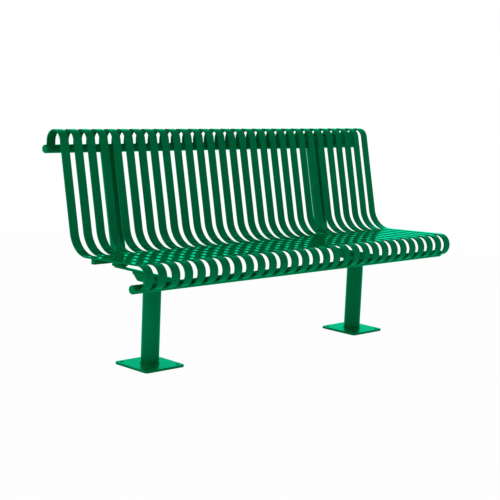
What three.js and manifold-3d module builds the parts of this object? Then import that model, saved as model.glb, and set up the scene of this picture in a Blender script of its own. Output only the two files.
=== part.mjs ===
// Slatted steel park bench with a back, on two posts with square floor plates.
// Millimetres, +Z up. X runs along the bench and the sitter faces -Y.
// The origin is on the floor, at the bottom centre of the bench's box.
import * as THREE from "three";
import { mergeVertices } from "three/addons/utils/BufferGeometryUtils.js";
import Module from "manifold-3d";

const wasm = await Module();
wasm.setup();

// Clearance left between neighbours that are welded together.
const gap = 0.3;

// Straps: flat bar bent into the back, the seat and a roll at each end.
const slatCount = 29;
const slatPitch = 63.5;
const slatWidth = 38;
const slatThickness = 6.35;
const backLean = THREE.MathUtils.degToRad(12.5);
const seatRise = THREE.MathUtils.degToRad(2.5);
const topRollRadius = 43.5;
const frontRollRadius = 45.5;
const bendRadius = 102.5;
const rollSteps = 12;
const bendSteps = 7;

// The strap's middle line in the side plane, measured back from the posts' axis.
const postToCorner = 127;
const cornerHeight = 447;
const postToFrontRoll = -264;
const topRollHeight = 874;
const rearRailHeight = 841;

// Rails along the bench: two round tubes with domed caps, and a square bar under the seat.
const railRadius = 16.7;
const railWall = 3.4;
const railLength = 1828.8;
const railSides = 24;
const capRise = 9;
const capPlugLength = 14;
const capSteps = 5;
const seatBarSide = 19;

// Supports, one set on each side: floor plate, post, cap, doubler, gusset, arm and upright.
const postSpacing = 1226;
const postRadius = 36.5;
const postWall = 5.2;
const pipeSides = 32;
const plateSize = 200;
const plateThickness = 9.5;
const plateCornerRadius = 14;
const plateCornerSteps = 4;
const anchorHoleRadius = 7.2;
const anchorHoleInset = 22;
const anchorHoleSides = 12;
const armWidth = 12.7;
const armThickness = 9.5;
const armMiddleHeight = 366;
const postToArmRear = 233;
const doublerLength = 236;
const doublerThickness = 8;
const postCapThickness = 5;
const gussetThickness = 8;
const gussetReach = 115;
const gussetDepth = 25;
const gussetRounding = 9;
const uprightRadius = 30.15;
const uprightWall = 3.9;
const uprightFootThickness = 5;

// Green powder coat on the steel, and the plastic plugs in the rails' ends.
const coating = { color: 0x00764a, roughness: 0.32, metalness: 0 };
const plug = { color: 0x00764a, roughness: 0.45, metalness: 0 };

// Places in the side plane: x is the depth behind the posts' axis, y is the height.
const corner = new THREE.Vector2(postToCorner, cornerHeight);
const topRoll = new THREE.Vector2(
  corner.x + (topRollHeight - corner.y) * Math.tan(backLean) + topRollRadius / Math.cos(backLean),
  topRollHeight,
);
const frontRoll = new THREE.Vector2(
  postToFrontRoll,
  corner.y + (corner.x - postToFrontRoll) * Math.tan(seatRise) - frontRollRadius / Math.cos(seatRise),
);
const cornerAngle = Math.PI / 2 + backLean - seatRise;
const bendCentre = onCircle(
  corner,
  bendRadius / Math.sin(cornerAngle / 2),
  Math.PI / 2 - backLean + cornerAngle / 2,
);
const rearRail = new THREE.Vector2(topRoll.x + topRollRadius, rearRailHeight);
const frontRail = new THREE.Vector2(
  frontRoll.x + railRadius + gap,
  frontRoll.y - frontRollRadius,
);

// Levels of the stack on each post, from the arm down.
const armTop = armMiddleHeight + armThickness / 2;
const doublerTop = armMiddleHeight - armThickness / 2 - gap;
const postCapTop = doublerTop - doublerThickness - gap;
const postTop = postCapTop - postCapThickness - gap;
const footTop = armTop + gap + uprightFootThickness;

// A point on a circle in a plane.
function onCircle(centre, radius, angle) {
  return new THREE.Vector2(
    centre.x + radius * Math.cos(angle),
    centre.y + radius * Math.sin(angle),
  );
}

// Points along an arc, both ends included.
function arc(centre, radius, from, to, steps) {
  const points = [];
  for (let i = 0; i <= steps; i++) {
    points.push(onCircle(centre, radius, from + ((to - from) * i) / steps));
  }
  return points;
}

// The points of a full circle, with no repeated end.
function circle(centre, radius, sides) {
  return arc(centre, radius, 0, 2 * Math.PI, sides).slice(0, sides);
}

// A shape pushed up along Z.
function pushUp(shape, depth) {
  return new THREE.ExtrudeGeometry(shape, { depth, bevelEnabled: false });
}

// A shape of the side plane (depth, height) pushed along X, centred on X = 0.
function pushAlongBench(shape, width) {
  const turned = new THREE.Matrix4().makeBasis(
    new THREE.Vector3(0, 1, 0),
    new THREE.Vector3(0, 0, 1),
    new THREE.Vector3(1, 0, 0),
  );
  return pushUp(shape, width).translate(0, 0, -width / 2).applyMatrix4(turned);
}

// The cross-section of a round pipe.
function ring(centre, radius, wall, sides) {
  const shape = new THREE.Shape(circle(centre, radius, sides));
  shape.holes.push(new THREE.Path(circle(centre, radius - wall, sides)));
  return shape;
}

// A closed geometry as a solid that can be cut.
function solidOf(geometry) {
  const bare = geometry.clone();
  bare.deleteAttribute("normal");
  bare.deleteAttribute("uv");
  const merged = mergeVertices(bare, 1e-4);
  return new wasm.Manifold(
    new wasm.Mesh({
      numProp: 3,
      vertProperties: new Float32Array(merged.attributes.position.array),
      triVerts: new Uint32Array(merged.index.array),
    }),
  );
}

// A cut solid back as a geometry.
function geometryOf(solid) {
  const mesh = solid.getMesh();
  const geometry = new THREE.BufferGeometry();
  geometry.setAttribute("position", new THREE.BufferAttribute(mesh.vertProperties, 3));
  geometry.setIndex(new THREE.BufferAttribute(mesh.triVerts, 1));
  geometry.computeVertexNormals();
  return geometry;
}

// One side of the strap, from its rear end over the back and the seat to its front end.
// The offset is positive on the outer side of the two rolls.
function strapSide(offset) {
  const topSide = topRollRadius + offset;
  const frontSide = frontRollRadius + offset;
  return [
    new THREE.Vector2(rearRail.x + offset, rearRail.y + railRadius + gap),
    ...arc(topRoll, topSide, 0, Math.PI - backLean, rollSteps),
    ...arc(bendCentre, bendRadius - offset, -backLean, -Math.PI / 2 - seatRise, bendSteps),
    ...arc(frontRoll, frontSide, Math.PI / 2 - seatRise, 1.5 * Math.PI, rollSteps),
  ];
}

function slatGeometry() {
  const outer = strapSide(slatThickness / 2);
  const inner = strapSide(-slatThickness / 2).reverse();
  return pushAlongBench(new THREE.Shape([...outer, ...inner]), slatWidth);
}

function railGeometry(centre) {
  return pushAlongBench(ring(centre, railRadius, railWall, railSides), railLength);
}

// A domed plug for the open end of a rail, pointing along +X from the rail's end.
function railCapGeometry() {
  const plugRadius = railRadius - railWall - gap;
  const dome = [];
  for (let i = 0; i < capSteps; i++) {
    const angle = (Math.PI / 2) * (i / capSteps);
    dome.push(new THREE.Vector2(railRadius * Math.cos(angle), gap + capRise * Math.sin(angle)));
  }
  const profile = [
    new THREE.Vector2(0, -capPlugLength),
    new THREE.Vector2(plugRadius, -capPlugLength),
    new THREE.Vector2(plugRadius, gap),
    ...dome,
    new THREE.Vector2(0, gap + capRise),
  ];
  return new THREE.LatheGeometry(profile, railSides).rotateZ(-Math.PI / 2);
}

// The square bar that crosses under the straps over the posts, tilted with the seat.
function seatBarGeometry() {
  const length = (slatCount - 1) * slatPitch + slatWidth;
  return new THREE.BoxGeometry(length, seatBarSide, seatBarSide);
}

function floorPlateGeometry() {
  const half = plateSize / 2;
  const inner = half - plateCornerRadius;
  const outline = [];
  for (let i = 0; i < 4; i++) {
    const start = (i * Math.PI) / 2;
    const turn = start + Math.PI / 4;
    const centre = onCircle(new THREE.Vector2(0, 0), inner * Math.SQRT2, turn);
    outline.push(...arc(centre, plateCornerRadius, start, start + Math.PI / 2, plateCornerSteps));
  }
  const shape = new THREE.Shape(outline);
  const hole = half - anchorHoleInset;
  for (const x of [-hole, hole]) {
    for (const y of [-hole, hole]) {
      const centre = new THREE.Vector2(x, y);
      shape.holes.push(new THREE.Path(circle(centre, anchorHoleRadius, anchorHoleSides)));
    }
  }
  return pushUp(shape, plateThickness);
}

function postGeometry() {
  const section = ring(new THREE.Vector2(0, 0), postRadius, postWall, pipeSides);
  const bottom = plateThickness + gap;
  return pushUp(section, postTop - bottom).translate(0, 0, bottom);
}

function postCapGeometry() {
  const section = new THREE.Shape(circle(new THREE.Vector2(0, 0), postRadius, pipeSides));
  return pushUp(section, postCapThickness).translate(0, 0, postCapTop - postCapThickness);
}

function doublerGeometry() {
  const middle = doublerTop - doublerThickness / 2;
  return new THREE.BoxGeometry(armWidth, doublerLength, doublerThickness).translate(0, 0, middle);
}

// The plate behind the post that props the doubler, with a slanted, rounded lower end.
function gussetGeometry() {
  const front = postRadius + gap;
  const top = postCapTop;
  const bottom = top - gussetDepth;
  const toe = gussetReach - gussetDepth;
  const slant = gussetRounding * Math.SQRT1_2;
  const shape = new THREE.Shape();
  shape.moveTo(front, bottom);
  shape.lineTo(toe - gussetRounding, bottom);
  shape.quadraticCurveTo(toe, bottom, toe + slant, bottom + slant);
  shape.lineTo(gussetReach, top);
  shape.lineTo(front, top);
  return pushAlongBench(shape, gussetThickness);
}

// The space that a rail and its weld gap take up.
function railSpace(centre, length) {
  const section = new THREE.Shape(circle(centre, railRadius + gap, railSides));
  return solidOf(pushAlongBench(section, length));
}

// The flat bar from behind the upright to the front rail, shaped to the rail.
function armGeometry() {
  const length = postToArmRear - frontRail.x;
  const bar = new THREE.BoxGeometry(armWidth, length, armThickness);
  bar.translate(0, frontRail.x + length / 2, armMiddleHeight);
  return geometryOf(solidOf(bar).subtract(railSpace(frontRail, 2 * armWidth)));
}

// The disc on the arm's rear end that closes the foot of the upright.
function uprightFootGeometry() {
  const middle = footTop - uprightFootThickness / 2;
  const depth = rearRail.x - (rearRail.y - middle) * Math.tan(backLean);
  const section = new THREE.Shape(circle(new THREE.Vector2(0, depth), uprightRadius, pipeSides));
  return pushUp(section, uprightFootThickness).translate(0, 0, footTop - uprightFootThickness);
}

// The leaning pipe from its foot to the rear rail, cut flat below and saddled above.
function uprightGeometry() {
  const reach = (rearRail.y - footTop) / Math.cos(backLean) + 2 * uprightRadius;
  const pipe = pushUp(
    ring(new THREE.Vector2(0, 0), uprightRadius, uprightWall, pipeSides),
    reach,
  );
  pipe.translate(0, 0, -reach).rotateX(-backLean).translate(0, rearRail.x, rearRail.y);
  const below = new THREE.BoxGeometry(4 * uprightRadius, reach, reach);
  below.translate(0, rearRail.x - reach / 4, footTop + gap - reach / 2);
  const cut = solidOf(pipe)
    .subtract(solidOf(below))
    .subtract(railSpace(rearRail, 4 * uprightRadius));
  return geometryOf(cut);
}

const bench = new THREE.Group();
bench.name = "bench";

// The frame that is measured from the posts' axis, set so that the box is centred on Y = 0.
const frame = new THREE.Group();
const frontEdge = frontRoll.x - frontRollRadius - slatThickness / 2;
const rearEdge = rearRail.x + uprightRadius * Math.cos(backLean);
frame.position.y = -(frontEdge + rearEdge) / 2;
bench.add(frame);

function add(name, geometry, finish, x = 0, y = 0, z = 0) {
  const mesh = new THREE.Mesh(geometry, new THREE.MeshStandardMaterial(finish));
  mesh.name = name;
  mesh.position.set(x, y, z);
  frame.add(mesh);
  return mesh;
}

for (let i = 0; i < slatCount; i++) {
  const number = String(i + 1).padStart(2, "0");
  add("slat_" + number, slatGeometry(), coating, (i - (slatCount - 1) / 2) * slatPitch);
}

add("rear_rail", railGeometry(rearRail), coating);
add("front_rail", railGeometry(frontRail), coating);
for (const [rail, centre] of [["rear", rearRail], ["front", frontRail]]) {
  const end = railLength / 2;
  add(rail + "_rail_cap_right", railCapGeometry(), plug, end, centre.x, centre.y);
  const left = add(rail + "_rail_cap_left", railCapGeometry(), plug, -end, centre.x, centre.y);
  left.rotation.z = Math.PI;
}

const seatBarDrop = (slatThickness + seatBarSide) / 2 / Math.cos(seatRise) + gap;
const seatBarHeight = corner.y + corner.x * Math.tan(seatRise) - seatBarDrop;
const seatBar = add("seat_bar", seatBarGeometry(), coating, 0, 0, seatBarHeight);
seatBar.rotation.x = -seatRise;

for (const [hand, x] of [["left", -postSpacing / 2], ["right", postSpacing / 2]]) {
  add(hand + "_floor_plate", floorPlateGeometry(), coating, x);
  add(hand + "_post", postGeometry(), coating, x);
  add(hand + "_post_cap", postCapGeometry(), coating, x);
  add(hand + "_doubler", doublerGeometry(), coating, x);
  add(hand + "_gusset", gussetGeometry(), coating, x);
  add(hand + "_arm", armGeometry(), coating, x);
  add(hand + "_upright_foot", uprightFootGeometry(), coating, x);
  add(hand + "_upright", uprightGeometry(), coating, x);
}

export default bench;
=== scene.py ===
# Slatted steel park bench with a back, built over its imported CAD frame.
# Metres, +Z up, and the sitter faces -Y.
from math import cos, pi, radians, sin, sqrt

import bmesh
import bpy
from mathutils import Matrix, Vector


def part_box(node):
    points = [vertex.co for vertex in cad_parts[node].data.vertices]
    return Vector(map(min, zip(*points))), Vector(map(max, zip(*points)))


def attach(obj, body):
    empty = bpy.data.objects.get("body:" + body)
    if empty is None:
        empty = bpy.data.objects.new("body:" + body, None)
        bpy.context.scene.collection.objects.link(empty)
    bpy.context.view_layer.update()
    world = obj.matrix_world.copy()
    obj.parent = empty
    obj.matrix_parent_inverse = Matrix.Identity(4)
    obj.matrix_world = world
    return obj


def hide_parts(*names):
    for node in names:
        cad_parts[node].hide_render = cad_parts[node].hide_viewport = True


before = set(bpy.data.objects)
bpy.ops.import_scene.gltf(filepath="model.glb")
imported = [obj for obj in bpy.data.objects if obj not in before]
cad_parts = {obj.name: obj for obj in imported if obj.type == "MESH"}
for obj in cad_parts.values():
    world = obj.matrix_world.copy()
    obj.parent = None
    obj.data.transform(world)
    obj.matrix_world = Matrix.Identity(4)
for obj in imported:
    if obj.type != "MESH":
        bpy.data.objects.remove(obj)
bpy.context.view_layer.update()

BODY = "root"
COATING = "green_coating"
PLUG = "green_plug"
HANDS = ("left", "right")

# The strap's section and its bends. Its places come from the frame's boxes.
STRAP_COUNT = 29
STRAP_THICKNESS = 0.00635
STRAP_ROUNDING = 0.001
ROUNDING_STEPS = 3
TOP_ROLL = 0.0435
FRONT_ROLL = 0.0455
BEND_RADIUS = 0.1025
BACK_LEAN = radians(12.5)
SEAT_RISE = radians(2.5)
ARC_STEP = radians(5)
# Faces that meet more steeply than this are shaded apart.
SHARP = radians(50)

# Sections of the pipes, plates and bars. EDGE is how far their corners are eased.
RAIL_WALL = 0.0034
POST_WALL = 0.0052
UPRIGHT_WALL = 0.0039
PLATE_CORNER = 0.014
PLATE_CORNER_STEPS = 8
ANCHOR_HOLE = 0.0072
ANCHOR_INSET = 0.022
GUSSET_ROUNDING = 0.009
EDGE = 0.0009
PIPE_SIDES = 72
HOLE_SIDES = 40
CURVE_STEPS = 6
SEAT_BAR_SIDE = 0.019
# The gap that the CAD leaves in place of each weld.
WELD_GAP = 0.0003

# The plugs in the rails' ends: flange, and ribs on the shank inside the tube.
FLANGE = 0.0016
FLANGE_CHAMFER = 0.0003
RIB_COUNT = 3
FIRST_RIB = 0.002
RIB_PITCH = 0.004
RIB_WIDTH = 0.0022
RIB_SLOPE = 0.0006
DOME_STEPS = 12

# Weld beads: two radii, the length and swell of one ripple, and the taper at a bead's ends.
BEAD = 0.0026
FINE_BEAD = 0.0021
RIPPLE = 0.0042
RIPPLE_SWELL = 0.14
END_TAPER = 0.45
BEAD_STEP = RIPPLE / 3
BEAD_SIDES = 8
SADDLE_STEPS = 32
# A direction that no bead runs along, from which the beads' rings are set out.
ASKEW = Vector((0.31, 0.17, 0.94))
# Where a bead's middle line lies: out from a round wall, in from the post's rim, off a strap's
# face and off the seat bar's side. Then how far beads stop short of a corner and of the cap's rim.
BEAD_OUT = 0.0005
BEAD_IN = 0.0008
OFF_STRAP = 0.0006
OFF_SEAT_BAR = 0.0003
CORNER_INSET = 0.001
RIM_INSET = 0.004
# The share of the foot disc's width that is welded to the arm.
FOOT_SHARE = 0.85

# The camera stands in front of the bench and well to its left, a little above the back's height.
CAMERA_PLACE = Vector((-3.667, -3.625, 1.173))
CAMERA_HEADING = radians(44.81)
CAMERA_TILT = radians(8.355)
CAMERA_ROLL = radians(2.5)
CAMERA_LENS = 87.5
CAMERA_SENSOR = 36
CAMERA_REACH = 300

# The most that gloss may cover the colour, at the flattest angles.
MOST_GLOSS = 0.5
# Shares of plain white light in the floor: as the camera sees it, and as the bench sees it.
FLOOR_WHITENESS = 0.98
FLOOR_GLOW = 0.7
# The floor lies just under the plates and turns plain white between these two distances.
FLOOR_GAP = 0.0004
FLOOR_RADIUS = 90
FLOOR_SIDES = 96
FADE_START = 2.5
FADE_END = 6.0
# One large light to the left of the bench, aimed at its left half.
SOFTBOX_PLACE = Vector((-4.2, 0.4, 1.5))
SOFTBOX_AIM = Vector((-0.6, 0, 0.4))
SOFTBOX_EXTENT = (3.2, 2.4)
SOFTBOX_POWER = 28
# Below 1 it darkens half-covered pixels, so thin parts keep their width against white.
VIEW_GAMMA = 0.76


# ---------------------------------------------------------------- small tools

def middle(node):
    low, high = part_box(node)
    return (low + high) / 2


def size(node):
    low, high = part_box(node)
    return high - low


def on_arc(centre, radius, start, end):
    """Points of an arc in the side plane (depth, height), both ends included."""
    steps = max(2, round(abs(end - start) / ARC_STEP))
    points = []
    for i in range(steps + 1):
        angle = start + (end - start) * i / steps
        points.append(centre + radius * Vector((cos(angle), sin(angle))))
    return points


def finish_mesh(name, verts, faces):
    """A mesh object with outward faces."""
    bm = bmesh.new()
    made = [bm.verts.new(v) for v in verts]
    for face in faces:
        bm.faces.new([made[i] for i in face])
    bmesh.ops.recalc_face_normals(bm, faces=bm.faces)
    return from_bmesh(name, bm)


def shade(mesh):
    """Corner normals weighted by face area: flats stay flat, eased edges and pipes look round,
    and faces that meet more steeply than SHARP stay apart."""
    mesh.shade_smooth()
    touching = [[] for _ in mesh.vertices]
    for face in mesh.polygons:
        for v in face.vertices:
            touching[v].append((face.normal.copy(), face.area))
    least = cos(SHARP)
    normals = []
    for face in mesh.polygons:
        own = face.normal.copy()
        for v in face.vertices:
            total = Vector((0, 0, 0))
            for normal, area in touching[v]:
                if normal.dot(own) > least:
                    total += normal * area
            normals.append(total.normalized())
    mesh.normals_split_custom_set(normals)


def from_bmesh(name, bm):
    mesh = bpy.data.meshes.new(name)
    bm.to_mesh(mesh)
    bm.free()
    shade(mesh)
    piece = bpy.data.objects.new(name, mesh)
    bpy.context.scene.collection.objects.link(piece)
    return piece


def tie(piece, material, slot, *nodes):
    """Gives a piece its finish and its body, and hides the CAD nodes that it stands for."""
    piece.data.materials.clear()
    piece.data.materials.append(material)
    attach(piece, BODY)
    if nodes:
        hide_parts(*nodes)
    return piece


def skin(rings, closed_path):
    """Faces between rings of equal length, for rings that close on themselves."""
    sides = len(rings[0])
    last = len(rings) if closed_path else len(rings) - 1
    faces = []
    for i in range(last):
        a = i * sides
        b = ((i + 1) % len(rings)) * sides
        for j in range(sides):
            k = (j + 1) % sides
            faces.append((a + j, a + k, b + k, b + j))
    return faces


def sweep(name, rings, closed_path=False):
    """A solid through closed rings, capped where the path is open."""
    verts = [v for ring in rings for v in ring]
    faces = skin(rings, closed_path)
    if not closed_path:
        sides = len(rings[0])
        faces.append(tuple(reversed(range(sides))))
        faces.append(tuple(range(len(verts) - sides, len(verts))))
    return finish_mesh(name, verts, faces)


def lathe(name, profile, place, turn=Matrix.Identity(3), sides=PIPE_SIDES):
    """Turns a closed (radius, height) outline round the local Z axis at a place.
    Outline points on the axis become one vertex."""
    rings = []
    verts = []
    for radius, height in profile:
        if radius == 0:
            rings.append([len(verts)])
            verts.append(place + turn @ Vector((0, 0, height)))
            continue
        ring = []
        for i in range(sides):
            angle = 2 * pi * i / sides
            point = Vector((radius * cos(angle), radius * sin(angle), height))
            ring.append(len(verts))
            verts.append(place + turn @ point)
        rings.append(ring)
    faces = []
    pairs = list(zip(rings, rings[1:]))
    starts_on_axis = profile[0][0] == 0
    if not starts_on_axis:
        pairs.append((rings[-1], rings[0]))
    for a, b in pairs:
        for i in range(sides):
            k = (i + 1) % sides
            if len(a) == 1:
                faces.append((a[0], b[i], b[k]))
            elif len(b) == 1:
                faces.append((a[i], a[k], b[0]))
            else:
                faces.append((a[i], a[k], b[k], b[i]))
    return finish_mesh(name, verts, faces)


def eased_ring(radius, wall, low, high):
    """The (radius, height) outline of a pipe wall with eased lips."""
    inner = radius - wall
    return [
        (radius, low + EDGE), (radius, high - EDGE), (radius - EDGE, high), (inner + EDGE, high),
        (inner, high - EDGE), (inner, low + EDGE), (inner + EDGE, low), (radius - EDGE, low),
    ]


def eased_disc(radius, low, high):
    """The outline of a solid disc with eased rims, from the axis to the axis."""
    # How far in from the corner the middle of an eased rim lies.
    corner = EDGE * 0.3
    return [
        (0, low), (radius - EDGE, low), (radius - corner, low + corner), (radius, low + EDGE),
        (radius, high - EDGE), (radius - corner, high - corner), (radius - EDGE, high), (0, high),
    ]


def bar(name, extent, place, turn=Matrix.Identity(3)):
    """A flat bar with eased edges."""
    bm = bmesh.new()
    bmesh.ops.create_cube(bm, size=1)
    bmesh.ops.scale(bm, vec=extent, verts=bm.verts)
    bmesh.ops.bevel(bm, geom=list(bm.edges), offset=EDGE, segments=3, profile=0.5, affect="EDGES")
    bmesh.ops.transform(bm, matrix=Matrix.Translation(place) @ turn.to_4x4(), verts=bm.verts)
    return from_bmesh(name, bm)


def plate(name, outlines, thickness, transform):
    """A flat plate cut to its outlines, with eased edges, centred on its own plane."""
    curve = bpy.data.curves.new(name, "CURVE")
    curve.dimensions = "2D"
    curve.fill_mode = "BOTH"
    curve.extrude = thickness / 2 - EDGE
    curve.bevel_depth = EDGE
    curve.bevel_resolution = 2
    curve.offset = -EDGE
    for outline in outlines:
        spline = curve.splines.new("POLY")
        spline.points.add(len(outline) - 1)
        for point, (x, y) in zip(spline.points, outline):
            point.co = (x, y, 0, 1)
        spline.use_cyclic_u = True
    drawn = bpy.data.objects.new(name + "_outline", curve)
    bpy.context.scene.collection.objects.link(drawn)
    bpy.context.view_layer.update()
    evaluated = drawn.evaluated_get(bpy.context.evaluated_depsgraph_get())
    solid = bpy.data.meshes.new_from_object(evaluated)
    bpy.data.objects.remove(drawn)
    bpy.data.curves.remove(curve)
    bm = bmesh.new()
    bm.from_mesh(solid)
    bpy.data.meshes.remove(solid)
    bmesh.ops.remove_doubles(bm, verts=bm.verts, dist=1e-6)
    bmesh.ops.recalc_face_normals(bm, faces=bm.faces)
    bmesh.ops.transform(bm, matrix=transform, verts=bm.verts)
    return from_bmesh(name, bm)


# ---------------------------------------------------------------- materials

class Nodes:
    """A short way to write a node tree."""

    def __init__(self, material):
        material.use_nodes = True
        self.tree = material.node_tree
        self.tree.nodes.clear()

    def add(self, kind, inputs=None, **settings):
        node = self.tree.nodes.new(kind)
        for key, value in settings.items():
            setattr(node, key, value)
        for key, value in (inputs or {}).items():
            if isinstance(value, bpy.types.NodeSocket):
                self.tree.links.new(value, node.inputs[key])
            else:
                node.inputs[key].default_value = value
        return node

    def noise(self, place, scale, detail=3.0, roughness=0.55):
        made = self.add(
            "ShaderNodeTexNoise",
            {"Vector": place, "Scale": scale, "Detail": detail, "Roughness": roughness},
        )
        return made.outputs["Fac"]

    def remap(self, value, low, high, to_low, to_high):
        made = self.add(
            "ShaderNodeMapRange",
            {"Value": value, "From Min": low, "From Max": high, "To Min": to_low, "To Max": to_high},
        )
        return made.outputs["Result"]

    def maths(self, operation, a, b):
        made = self.add("ShaderNodeMath", {0: a, 1: b}, operation=operation)
        return made.outputs[0]

    def blend(self, factor, a, b):
        made = self.add("ShaderNodeMix", {"Factor": factor}, data_type="RGBA")
        for socket, value in ((made.inputs[6], a), (made.inputs[7], b)):
            if isinstance(value, bpy.types.NodeSocket):
                self.tree.links.new(value, socket)
            else:
                socket.default_value = value
        return made.outputs[2]


def painted(name, deep, light, worn, sheen, gloss, peel_depth):
    """Green coating with uneven film, orange peel, a thinner film on edges and faint dust on top.
    Its gloss is green too, as in the photograph, so it lies over the colour by Fresnel."""
    material = bpy.data.materials.new(name)
    n = Nodes(material)
    geometry = n.add("ShaderNodeNewGeometry")
    place = geometry.outputs["Position"]
    cloud = n.noise(place, 9.0, 4.0)
    mottle = n.noise(place, 70.0, 3.0)
    speck = n.noise(place, 950.0, 2.0)
    peel = n.noise(place, 330.0, 2.0)
    each = n.add("ShaderNodeObjectInfo").outputs["Random"]

    tint = n.maths("ADD", n.remap(cloud, 0.3, 0.7, 0.0, 0.6), n.remap(each, 0, 1, 0.0, 0.3))
    film = n.blend(tint, deep, light)
    eased = n.add("ShaderNodeBevel", {"Radius": 0.0016}, samples=4)
    facing = n.add(
        "ShaderNodeVectorMath",
        {0: eased.outputs["Normal"], 1: geometry.outputs["True Normal"]},
        operation="DOT_PRODUCT",
    )
    edge = n.remap(facing.outputs["Value"], 0.99, 0.86, 0.0, 1.0)
    patchy = n.maths("MULTIPLY", edge, n.remap(mottle, 0.42, 0.62, 0.15, 0.75))
    coloured = n.blend(patchy, film, worn)

    upward = n.add("ShaderNodeSeparateXYZ", {0: geometry.outputs["Normal"]}).outputs["Z"]
    level = n.remap(upward, 0.6, 1.0, 0.0, 1.0)
    dust = n.maths("MULTIPLY", level, n.remap(mottle, 0.45, 0.75, 0.0, 0.1))
    dusty = n.blend(dust, coloured, (0.1, 0.42, 0.28, 1))

    rough = n.remap(mottle, 0.3, 0.7, gloss - 0.03, gloss + 0.04)
    rough = n.maths("ADD", rough, n.maths("MULTIPLY", patchy, 0.12))
    rough = n.maths("ADD", rough, n.maths("MULTIPLY", dust, 0.6))
    height = n.maths("ADD", n.maths("MULTIPLY", peel, 0.8), n.maths("MULTIPLY", speck, 0.2))
    bump = n.add("ShaderNodeBump", {"Strength": 0.3, "Distance": peel_depth, "Height": height})
    normal = bump.outputs["Normal"]

    base = n.add(
        "ShaderNodeBsdfPrincipled",
        {"Base Color": dusty, "Roughness": rough, "Specular IOR Level": 0.0, "Normal": normal},
    )
    mirror = n.add("ShaderNodeBsdfGlossy", {"Color": sheen, "Roughness": rough, "Normal": normal})
    fresnel = n.add("ShaderNodeFresnel", {"IOR": 1.6, "Normal": normal})
    share = n.maths("MINIMUM", fresnel.outputs[0], MOST_GLOSS)
    both = n.add("ShaderNodeMixShader", {"Fac": share, 1: base.outputs[0], 2: mirror.outputs[0]})
    n.add("ShaderNodeOutputMaterial", {"Surface": both.outputs[0]})
    return material


def floor_material(fade_start, fade_end):
    """Pale floor that the camera sees nearly white, with faint shadows, and plain white far away."""
    material = bpy.data.materials.new("studio_floor")
    n = Nodes(material)
    place = n.add("ShaderNodeNewGeometry").outputs["Position"]
    distance = n.add("ShaderNodeVectorMath", {0: place}, operation="LENGTH").outputs["Value"]
    grain = n.noise(place, 6.0, 5.0)
    mix = n.remap(grain, 0.3, 0.7, 0, 1)
    tone = n.blend(mix, (0.72, 0.72, 0.72, 1), (0.76, 0.76, 0.76, 1))
    paper = n.add("ShaderNodeBsdfDiffuse", {"Color": tone})
    white = n.add("ShaderNodeEmission", {"Color": (1, 1, 1, 1), "Strength": 1.0})
    seen = n.add("ShaderNodeLightPath").outputs["Is Camera Ray"]
    share = n.remap(seen, 0, 1, FLOOR_GLOW, FLOOR_WHITENESS)
    near = n.add("ShaderNodeMixShader", {"Fac": share, 1: paper.outputs[0], 2: white.outputs[0]})
    fade = n.add(
        "ShaderNodeMapRange",
        {"Value": distance, "From Min": fade_start, "From Max": fade_end},
        interpolation_type="SMOOTHSTEP",
    )
    far = fade.outputs["Result"]
    mixed = n.add("ShaderNodeMixShader", {"Fac": far, 1: near.outputs[0], 2: white.outputs[0]})
    n.add("ShaderNodeOutputMaterial", {"Surface": mixed.outputs[0]})
    return material


coating = painted(
    "green_powder_coat", (0.0, 0.18, 0.06, 1), (0.001, 0.225, 0.082, 1), (0.008, 0.32, 0.15, 1),
    sheen=(0.02, 1.0, 0.62, 1), gloss=0.1, peel_depth=0.00015,
)
plate_coating = painted(
    "green_scuffed_coat", (0.0, 0.19, 0.065, 1), (0.001, 0.235, 0.085, 1), (0.008, 0.32, 0.15, 1),
    sheen=(0.02, 1.0, 0.64, 1), gloss=0.3, peel_depth=0.00015,
)
plug_plastic = painted(
    "green_plug_plastic", (0.0, 0.22, 0.08, 1), (0.001, 0.27, 0.1, 1), (0.01, 0.34, 0.17, 1),
    sheen=(0.02, 0.9, 0.6, 1), gloss=0.24, peel_depth=0.0001,
)


# ---------------------------------------------------------------- places in the side plane

strap_low, strap_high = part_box("slat_01")
top_outer = TOP_ROLL + STRAP_THICKNESS / 2
front_outer = FRONT_ROLL + STRAP_THICKNESS / 2
top_roll = Vector((strap_high.y - top_outer, strap_high.z - top_outer))
front_roll = Vector((strap_low.y + front_outer, strap_low.z + front_outer))
rear_rail = Vector(middle("rear_rail").yz)
front_rail = Vector(middle("front_rail").yz)
rail_radius = size("rear_rail").z / 2
back_point = top_roll + TOP_ROLL * Vector((-cos(BACK_LEAN), sin(BACK_LEAN)))
seat_point = front_roll + FRONT_ROLL * Vector((sin(SEAT_RISE), cos(SEAT_RISE)))


def meeting(a, along_a, b, along_b):
    """Where two lines of the side plane cross."""
    across = along_b.orthogonal()
    return a + along_a * ((b - a).dot(across) / along_a.dot(across))


def bend_centre():
    """Centre of the arc that joins the back to the seat."""
    corner = meeting(
        back_point, Vector((sin(BACK_LEAN), cos(BACK_LEAN))),
        seat_point, Vector((cos(SEAT_RISE), -sin(SEAT_RISE))),
    )
    opening = pi / 2 + BACK_LEAN - SEAT_RISE
    towards = pi / 2 - BACK_LEAN + opening / 2
    return corner + BEND_RADIUS / sin(opening / 2) * Vector((cos(towards), sin(towards)))


# ---------------------------------------------------------------- straps

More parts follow.
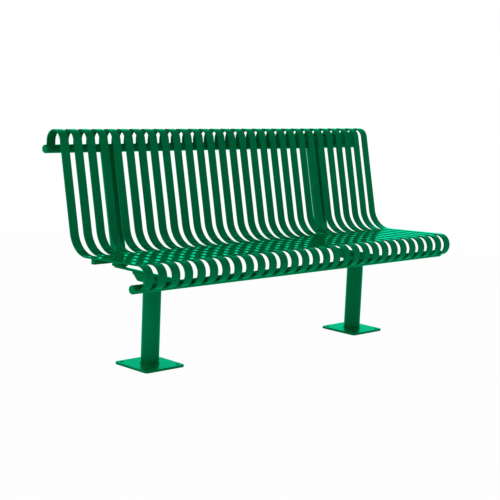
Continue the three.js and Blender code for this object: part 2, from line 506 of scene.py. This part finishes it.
def strap_path():
    """The strap's middle line as (point, outward direction), from the rear rail to the front rail.
    Outward is away from the rolls' centres."""
    rear_end = rear_rail.y + rail_radius + WELD_GAP
    path = []
    for height in (rear_end, (rear_end + top_roll.y) / 2):
        path.append((Vector((top_roll.x + TOP_ROLL, height)), Vector((1, 0))))
    for point in on_arc(top_roll, TOP_ROLL, 0, pi - BACK_LEAN):
        path.append((point, (point - top_roll).normalized()))
    centre = bend_centre()
    for point in on_arc(centre, BEND_RADIUS, -BACK_LEAN, -pi / 2 - SEAT_RISE):
        path.append((point, (centre - point).normalized()))
    for point in on_arc(front_roll, FRONT_ROLL, pi / 2 - SEAT_RISE, 1.5 * pi):
        path.append((point, (point - front_roll).normalized()))
    return path


def strap_section(width):
    """The flat bar's section as (across, outward) points with rounded corners."""
    half = Vector((width / 2 - STRAP_ROUNDING, STRAP_THICKNESS / 2 - STRAP_ROUNDING))
    points = []
    for quarter, (sx, sy) in enumerate(((1, 1), (-1, 1), (-1, -1), (1, -1))):
        centre = Vector((sx * half.x, sy * half.y))
        for i in range(ROUNDING_STEPS + 1):
            angle = (quarter + i / ROUNDING_STEPS) * pi / 2
            points.append(centre + STRAP_ROUNDING * Vector((cos(angle), sin(angle))))
    return points


def make_straps():
    path = strap_path()
    section = strap_section(size("slat_01").x)
    for i in range(STRAP_COUNT):
        node = f"slat_{i + 1:02d}"
        x = middle(node).x
        rings = []
        for point, outward in path:
            ring = []
            for across, out in section:
                place = point + out * outward
                ring.append(Vector((x + across, place.x, place.y)))
            rings.append(ring)
        strap = sweep(f"strap_{i + 1:02d}", rings)
        tie(strap, coating, COATING, node)


# ---------------------------------------------------------------- rails and seat bar

ALONG_X = Matrix.Rotation(pi / 2, 3, "Y")


def make_rail(node):
    half = size(node).x / 2
    outline = eased_ring(rail_radius, RAIL_WALL, -half, half)
    tie(lathe(node + "_tube", outline, middle(node), ALONG_X), coating, COATING, node)


def make_rail_cap(rail, hand):
    """A push-in plug: a ribbed shank inside the tube, a thin flange and a soft dome."""
    node = f"{rail}_rail_cap_{hand}"
    low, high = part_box(node)
    length = high.x - low.x
    outward = 1 if hand == "right" else -1
    base = Vector((low.x if hand == "right" else high.x, middle(node).y, middle(node).z))
    rail_end = (size(rail + "_rail").x / 2 - abs(base.x)) + WELD_GAP
    shank = rail_radius - RAIL_WALL - WELD_GAP
    core = shank - EDGE
    outline = [(0, 0), (core, 0)]
    for i in range(RIB_COUNT):
        start = FIRST_RIB + i * RIB_PITCH
        end = start + RIB_WIDTH
        outline += [(core, start), (shank, start + RIB_SLOPE), (shank, end - RIB_SLOPE), (core, end)]
    lip = rail_end + FLANGE_CHAMFER
    outline += [(core, rail_end), (rail_radius - FLANGE_CHAMFER, rail_end), (rail_radius, lip)]
    rise = length - rail_end - FLANGE
    for i in range(DOME_STEPS):
        angle = pi / 2 * i / DOME_STEPS
        outline.append((rail_radius * cos(angle), rail_end + FLANGE + rise * sin(angle)))
    outline.append((0, length))
    turn = Matrix.Rotation(outward * pi / 2, 3, "Y")
    tie(lathe(node + "_dome", outline, base, turn), plug_plastic, PLUG, node)


def make_seat_bar():
    extent = Vector((size("seat_bar").x, SEAT_BAR_SIDE, SEAT_BAR_SIDE))
    turn = Matrix.Rotation(-SEAT_RISE, 3, "X")
    tie(bar("seat_bar_square", extent, middle("seat_bar"), turn), coating, COATING, "seat_bar")


# ---------------------------------------------------------------- supports

def rounded_square(half, corner):
    points = []
    for quarter in range(4):
        diagonal = pi / 4 + quarter * pi / 2
        centre = (half - corner) * sqrt(2) * Vector((cos(diagonal), sin(diagonal)))
        for i in range(PLATE_CORNER_STEPS + 1):
            angle = (quarter + i / PLATE_CORNER_STEPS) * pi / 2
            points.append(centre + corner * Vector((cos(angle), sin(angle))))
    return points


def round_hole(x, y, radius):
    points = []
    for i in range(HOLE_SIDES):
        angle = 2 * pi * i / HOLE_SIDES
        points.append(Vector((x + radius * cos(angle), y + radius * sin(angle))))
    return points


def make_floor_plate(hand):
    node = hand + "_floor_plate"
    half = size(node).x / 2
    reach = half - ANCHOR_INSET
    outlines = [rounded_square(half, PLATE_CORNER)]
    for x in (-reach, reach):
        for y in (-reach, reach):
            outlines.append(round_hole(x, y, ANCHOR_HOLE))
    made = plate(node + "_cut", outlines, size(node).z, Matrix.Translation(middle(node)))
    tie(made, plate_coating, COATING, node)


def make_post(hand):
    node = hand + "_post"
    half = size(node).z / 2
    outline = eased_ring(size(node).x / 2, POST_WALL, -half, half)
    tie(lathe(node + "_pipe", outline, middle(node)), coating, COATING, node)


def make_disc(node, name):
    half = size(node).z / 2
    outline = eased_disc(size(node).x / 2, -half, half)
    tie(lathe(name, outline, middle(node)), coating, COATING, node)


def make_bar(node, name):
    tie(bar(name, size(node), middle(node)), coating, COATING, node)


def side_plane(x):
    """Takes a drawing in (depth, height) to the side plane at x."""
    return Matrix(((0, 0, 1, x), (1, 0, 0, 0), (0, 1, 0, 0), (0, 0, 0, 1)))


def make_arm(hand):
    """The flat arm under the seat. Its front end is cut to the front rail's curve."""
    node = hand + "_arm"
    low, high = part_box(node)
    clear = rail_radius + WELD_GAP
    outline = []
    for i in range(CURVE_STEPS + 1):
        height = low.z + (high.z - low.z) * i / CURVE_STEPS
        reach = sqrt(clear ** 2 - (height - front_rail.y) ** 2)
        outline.append(Vector((front_rail.x + reach, height)))
    outline += [Vector((high.y, high.z)), Vector((high.y, low.z))]
    made = plate(node + "_bar", [outline], high.x - low.x, side_plane(middle(node).x))
    tie(made, coating, COATING, node)


def make_gusset(hand):
    """The prop behind the post: square at the post, slanted and rounded at its toe."""
    node = hand + "_gusset"
    low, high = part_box(node)
    toe = Vector((high.y - (high.z - low.z), low.z))
    before = toe - Vector((GUSSET_ROUNDING, 0))
    after = toe + GUSSET_ROUNDING * sqrt(0.5) * Vector((1, 1))
    outline = [Vector((low.y, low.z))]
    for i in range(CURVE_STEPS + 1):
        t = i / CURVE_STEPS
        outline.append((1 - t) ** 2 * before + 2 * t * (1 - t) * toe + t * t * after)
    outline += [Vector((high.y, high.z)), Vector((low.y, high.z))]
    made = plate(node + "_cut", [outline], high.x - low.x, side_plane(middle(node).x))
    tie(made, coating, COATING, node)


def saddle_height(across):
    """How far below the rail's centre the upright's end lies, at a depth from its own axis."""
    clear = rail_radius + WELD_GAP
    return -sqrt(max(0.0, clear * clear - across * across))


def upright_turn():
    return Matrix.Rotation(-BACK_LEAN, 3, "X")


def make_upright(hand):
    """A leaning pipe, cut level at its foot and saddled round the rear rail at its top."""
    node = hand + "_upright"
    low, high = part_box(node)
    radius = (high.x - low.x) / 2
    top = Vector((middle(node).x, rear_rail.x, rear_rail.y))
    turn = upright_turn()
    axis = turn @ Vector((0, 0, 1))
    # Outside at the foot, outside at the top, inside at the top, inside at the foot.
    rings = [[], [], [], []]
    for i in range(PIPE_SIDES):
        angle = 2 * pi * i / PIPE_SIDES
        for wall, foot_ring, top_ring in ((radius, 0, 1), (radius - UPRIGHT_WALL, 3, 2)):
            flat = Vector((wall * cos(angle), wall * sin(angle), 0))
            line = top + turn @ flat
            rings[top_ring].append(line + axis * saddle_height(flat.y))
            rings[foot_ring].append(line + axis * ((low.z - line.z) / axis.z))
    tie(sweep(node + "_pipe", rings, closed_path=True), coating, COATING, node)


# ---------------------------------------------------------------- welds

def bead_rings(path, radius, closed):
    """Rings of a rippled bead along a path of points."""
    rings = []
    run = 0.0
    for i, point in enumerate(path):
        before = path[i - 1] if i or closed else path[0]
        after = path[(i + 1) % len(path)] if i < len(path) - 1 or closed else path[-1]
        along = (after - before).normalized()
        side = along.cross(ASKEW).normalized()
        up = side.cross(along)
        swell = 1 + RIPPLE_SWELL * sin(2 * pi * run / RIPPLE)
        if not closed and i in (0, len(path) - 1):
            swell = END_TAPER
        ring = []
        for k in range(BEAD_SIDES):
            angle = 2 * pi * k / BEAD_SIDES
            ring.append(point + radius * swell * (cos(angle) * side + sin(angle) * up))
        rings.append(ring)
        run += (after - point).length
    return rings


def straight(start, end, radius):
    """A straight bead between two points (x, y, z), as (path, radius, closed)."""
    start = Vector(start)
    end = Vector(end)
    steps = max(3, round((end - start).length / BEAD_STEP))
    path = [start.lerp(end, i / steps) for i in range(steps + 1)]
    return path, radius, False


def around(centre, reach, height, radius):
    """A level round bead at a reach from an upright axis, as (path, radius, closed)."""
    steps = round(2 * pi * reach / BEAD_STEP)
    hub = Vector((centre.x, centre.y, height))
    path = []
    for i in range(steps):
        angle = 2 * pi * i / steps
        path.append(hub + reach * Vector((cos(angle), sin(angle), 0)))
    return path, radius, True


def make_welds(name, beads):
    """One piece that holds every bead of a joint line."""
    verts = []
    faces = []
    for path, radius, closed in beads:
        rings = bead_rings(path, radius, closed)
        start = len(verts)
        verts += [v for ring in rings for v in ring]
        faces += [tuple(start + i for i in face) for face in skin(rings, closed)]
        if not closed:
            faces.append(tuple(start + k for k in reversed(range(BEAD_SIDES))))
            faces.append(tuple(len(verts) - BEAD_SIDES + k for k in range(BEAD_SIDES)))
    tie(finish_mesh(name, verts, faces), coating, COATING)


def bead_along_x(x, half, depth, height, radius):
    """A straight bead along X, centred on x."""
    return straight((x - half, depth, height), (x + half, depth, height), radius)


def bead_along_y(x, start, end, height, radius):
    """A straight bead along Y."""
    return straight((x, start, height), (x, end, height), radius)


def make_strap_welds():
    """Beads on both faces of each strap where it lands on the rails, and along the seat bar."""
    half_thick = STRAP_THICKNESS / 2
    reach = sqrt(rail_radius ** 2 - half_thick ** 2)
    bar_half = SEAT_BAR_SIDE / 2
    bar_top = Vector(middle("seat_bar").yz) + bar_half * Vector((sin(SEAT_RISE), cos(SEAT_RISE)))
    bar_side = (bar_half + OFF_SEAT_BAR) * Vector((cos(SEAT_RISE), -sin(SEAT_RISE)))
    rear = []
    front = []
    seat = []
    for i in range(STRAP_COUNT):
        node = f"slat_{i + 1:02d}"
        x = middle(node).x
        half = size(node).x / 2 - CORNER_INSET
        for side in (-1, 1):
            off = side * (half_thick + OFF_STRAP)
            on_bar = bar_top + side * bar_side
            rear.append(bead_along_x(x, half, rear_rail.x + off, rear_rail.y + reach, FINE_BEAD))
            front.append(bead_along_x(x, half, front_rail.x - reach, front_rail.y + off, FINE_BEAD))
            seat.append(bead_along_x(x, half, on_bar.x, on_bar.y, FINE_BEAD))
    make_welds("rear_rail_strap_welds", rear)
    make_welds("front_rail_strap_welds", front)
    make_welds("seat_bar_welds", seat)


def saddle_beads(hand):
    """The two curved beads where the upright's saddle meets the rear rail."""
    low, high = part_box(hand + "_upright")
    radius = (high.x - low.x) / 2
    top = Vector((middle(hand + "_upright").x, rear_rail.x, rear_rail.y))
    turn = upright_turn()
    beads = []
    for side in (-1, 1):
        path = []
        for i in range(SADDLE_STEPS + 1):
            depth = (rail_radius + WELD_GAP) * cos(pi * i / SADDLE_STEPS)
            x = side * sqrt(radius * radius - depth * depth)
            path.append(top + turn @ Vector((x, depth, saddle_height(depth))))
        beads.append((path, BEAD, False))
    return beads


def round_beads(hand):
    """Round beads at the post's foot, at its head and on the upright's foot disc."""
    post = middle(hand + "_post")
    post_low, post_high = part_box(hand + "_post")
    post_radius = size(hand + "_post").x / 2
    foot = middle(hand + "_upright_foot")
    foot_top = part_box(hand + "_upright_foot")[1].z
    foot_radius = size(hand + "_upright_foot").x / 2
    return [
        around(post, post_radius + BEAD_OUT, post_low.z, BEAD),
        around(post, post_radius - BEAD_IN, post_high.z, FINE_BEAD),
        around(foot, foot_radius, foot_top, BEAD),
    ]


def arm_beads(hand, side):
    """Beads along one side of the arm: on the cap, stitches on the doubler, and at the foot disc."""
    arm_low, arm_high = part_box(hand + "_arm")
    doubler_low, doubler_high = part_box(hand + "_doubler")
    post = middle(hand + "_post")
    foot = middle(hand + "_upright_foot")
    half = (arm_high.x - arm_low.x) / 2
    x = post.x + side * half
    cap_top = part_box(hand + "_post_cap")[1].z
    on_cap = sqrt((size(hand + "_post").x / 2) ** 2 - half ** 2) - RIM_INSET
    beads = [bead_along_y(x, post.y - on_cap, post.y + on_cap, cap_top, BEAD)]
    # Three stitches and the two gaps between them are equally long.
    stitch = (doubler_high.y - doubler_low.y) / 5
    for i in (0, 2, 4):
        start = doubler_low.y + i * stitch
        beads.append(bead_along_y(x, start, start + stitch, doubler_high.z, FINE_BEAD))
    on_foot = FOOT_SHARE * size(hand + "_upright_foot").x / 2
    beads.append(bead_along_y(x, foot.y - on_foot, foot.y + on_foot, arm_high.z, FINE_BEAD))
    return beads


def gusset_beads(hand, side):
    """Beads along one side of the gusset: down the post and along the doubler."""
    low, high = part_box(hand + "_gusset")
    x = middle(hand + "_post").x + side * (high.x - low.x) / 2
    return [
        straight((x, low.y, low.z), (x, low.y, high.z), BEAD),
        bead_along_y(x, low.y, high.y, high.z, BEAD),
    ]


def arm_end_beads(hand):
    """Beads over and under the arm where it meets the front rail."""
    low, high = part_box(hand + "_arm")
    x = (low.x + high.x) / 2
    half = (high.x - low.x) / 2 - CORNER_INSET
    beads = []
    for level in (low.z, high.z):
        drop = level - front_rail.y
        depth = front_rail.x + sqrt(rail_radius ** 2 - drop ** 2) + BEAD_OUT
        beads.append(bead_along_x(x, half, depth, level, BEAD))
    return beads


def make_support_welds(hand):
    beads = round_beads(hand) + saddle_beads(hand)
    for side in (-1, 1):
        beads += arm_beads(hand, side) + gusset_beads(hand, side)
    beads += arm_end_beads(hand)
    make_welds(hand + "_support_welds", beads)


# ---------------------------------------------------------------- stage, light and camera

def make_floor():
    bm = bmesh.new()
    bmesh.ops.create_circle(bm, cap_ends=True, segments=FLOOR_SIDES, radius=FLOOR_RADIUS)
    bmesh.ops.translate(bm, verts=bm.verts, vec=(0, 0, -FLOOR_GAP))
    floor = from_bmesh("studio_floor", bm)
    floor.data.materials.append(floor_material(FADE_START, FADE_END))


def make_room():
    """Soft light all round, brighter behind the bench and dimmer overhead. The camera sees it as
    plain white."""
    world = bpy.data.worlds.new("studio")
    bpy.context.scene.world = world
    n = Nodes(world)
    direction = n.add("ShaderNodeTexCoord").outputs["Generated"]
    behind = n.add(
        "ShaderNodeVectorMath",
        {0: direction, 1: Vector((sin(CAMERA_HEADING), cos(CAMERA_HEADING), 0.0))},
        operation="DOT_PRODUCT",
    )
    above = n.add("ShaderNodeSeparateXYZ", {0: direction}).outputs["Z"]
    wall = n.remap(behind.outputs["Value"], 0.0, 0.8, 0.7, 1.65)
    wall = n.maths("MULTIPLY", wall, n.remap(above, 0.3, 0.9, 1.0, 0.5))
    lit = n.add("ShaderNodeBackground", {"Color": (1, 1, 1, 1), "Strength": wall})
    plain = n.add("ShaderNodeBackground", {"Color": (1, 1, 1, 1), "Strength": 1.0})
    seen = n.add("ShaderNodeLightPath").outputs["Is Camera Ray"]
    mixed = n.add("ShaderNodeMixShader", {"Fac": seen, 1: lit.outputs[0], 2: plain.outputs[0]})
    n.add("ShaderNodeOutputWorld", {"Surface": mixed.outputs[0]})


def softbox(name, place, aim, extent, power):
    light = bpy.data.lights.new(name, "AREA")
    light.shape = "RECTANGLE"
    light.size, light.size_y = extent
    light.energy = power
    lamp = bpy.data.objects.new(name, light)
    bpy.context.scene.collection.objects.link(lamp)
    lamp.location = place
    lamp.rotation_euler = (aim - place).to_track_quat("-Z", "Y").to_euler()


def make_camera():
    data = bpy.data.cameras.new("photo_camera")
    data.lens = CAMERA_LENS
    data.sensor_width = CAMERA_SENSOR
    data.clip_end = CAMERA_REACH
    camera = bpy.data.objects.new("photo_camera", data)
    bpy.context.scene.collection.objects.link(camera)
    turn = (
        Matrix.Rotation(-CAMERA_HEADING, 4, "Z")
        @ Matrix.Rotation(pi / 2 - CAMERA_TILT, 4, "X")
        @ Matrix.Rotation(CAMERA_ROLL, 4, "Z")
    )
    camera.matrix_world = Matrix.Translation(CAMERA_PLACE) @ turn
    bpy.context.scene.camera = camera


make_camera()
make_floor()
make_room()
softbox("left_softbox", SOFTBOX_PLACE, SOFTBOX_AIM, SOFTBOX_EXTENT, SOFTBOX_POWER)
bpy.context.scene.view_settings.view_transform = "Standard"
bpy.context.scene.view_settings.gamma = VIEW_GAMMA

make_straps()
for rail in ("rear", "front"):
    make_rail(rail + "_rail")
    for hand in HANDS:
        make_rail_cap(rail, hand)
make_seat_bar()
make_strap_welds()
for hand in HANDS:
    make_floor_plate(hand)
    make_post(hand)
    make_disc(hand + "_post_cap", hand + "_post_cap_disc")
    make_bar(hand + "_doubler", hand + "_doubler_bar")
    make_gusset(hand)
    make_arm(hand)
    make_disc(hand + "_upright_foot", hand + "_upright_foot_disc")
    make_upright(hand)
    make_support_welds(hand)
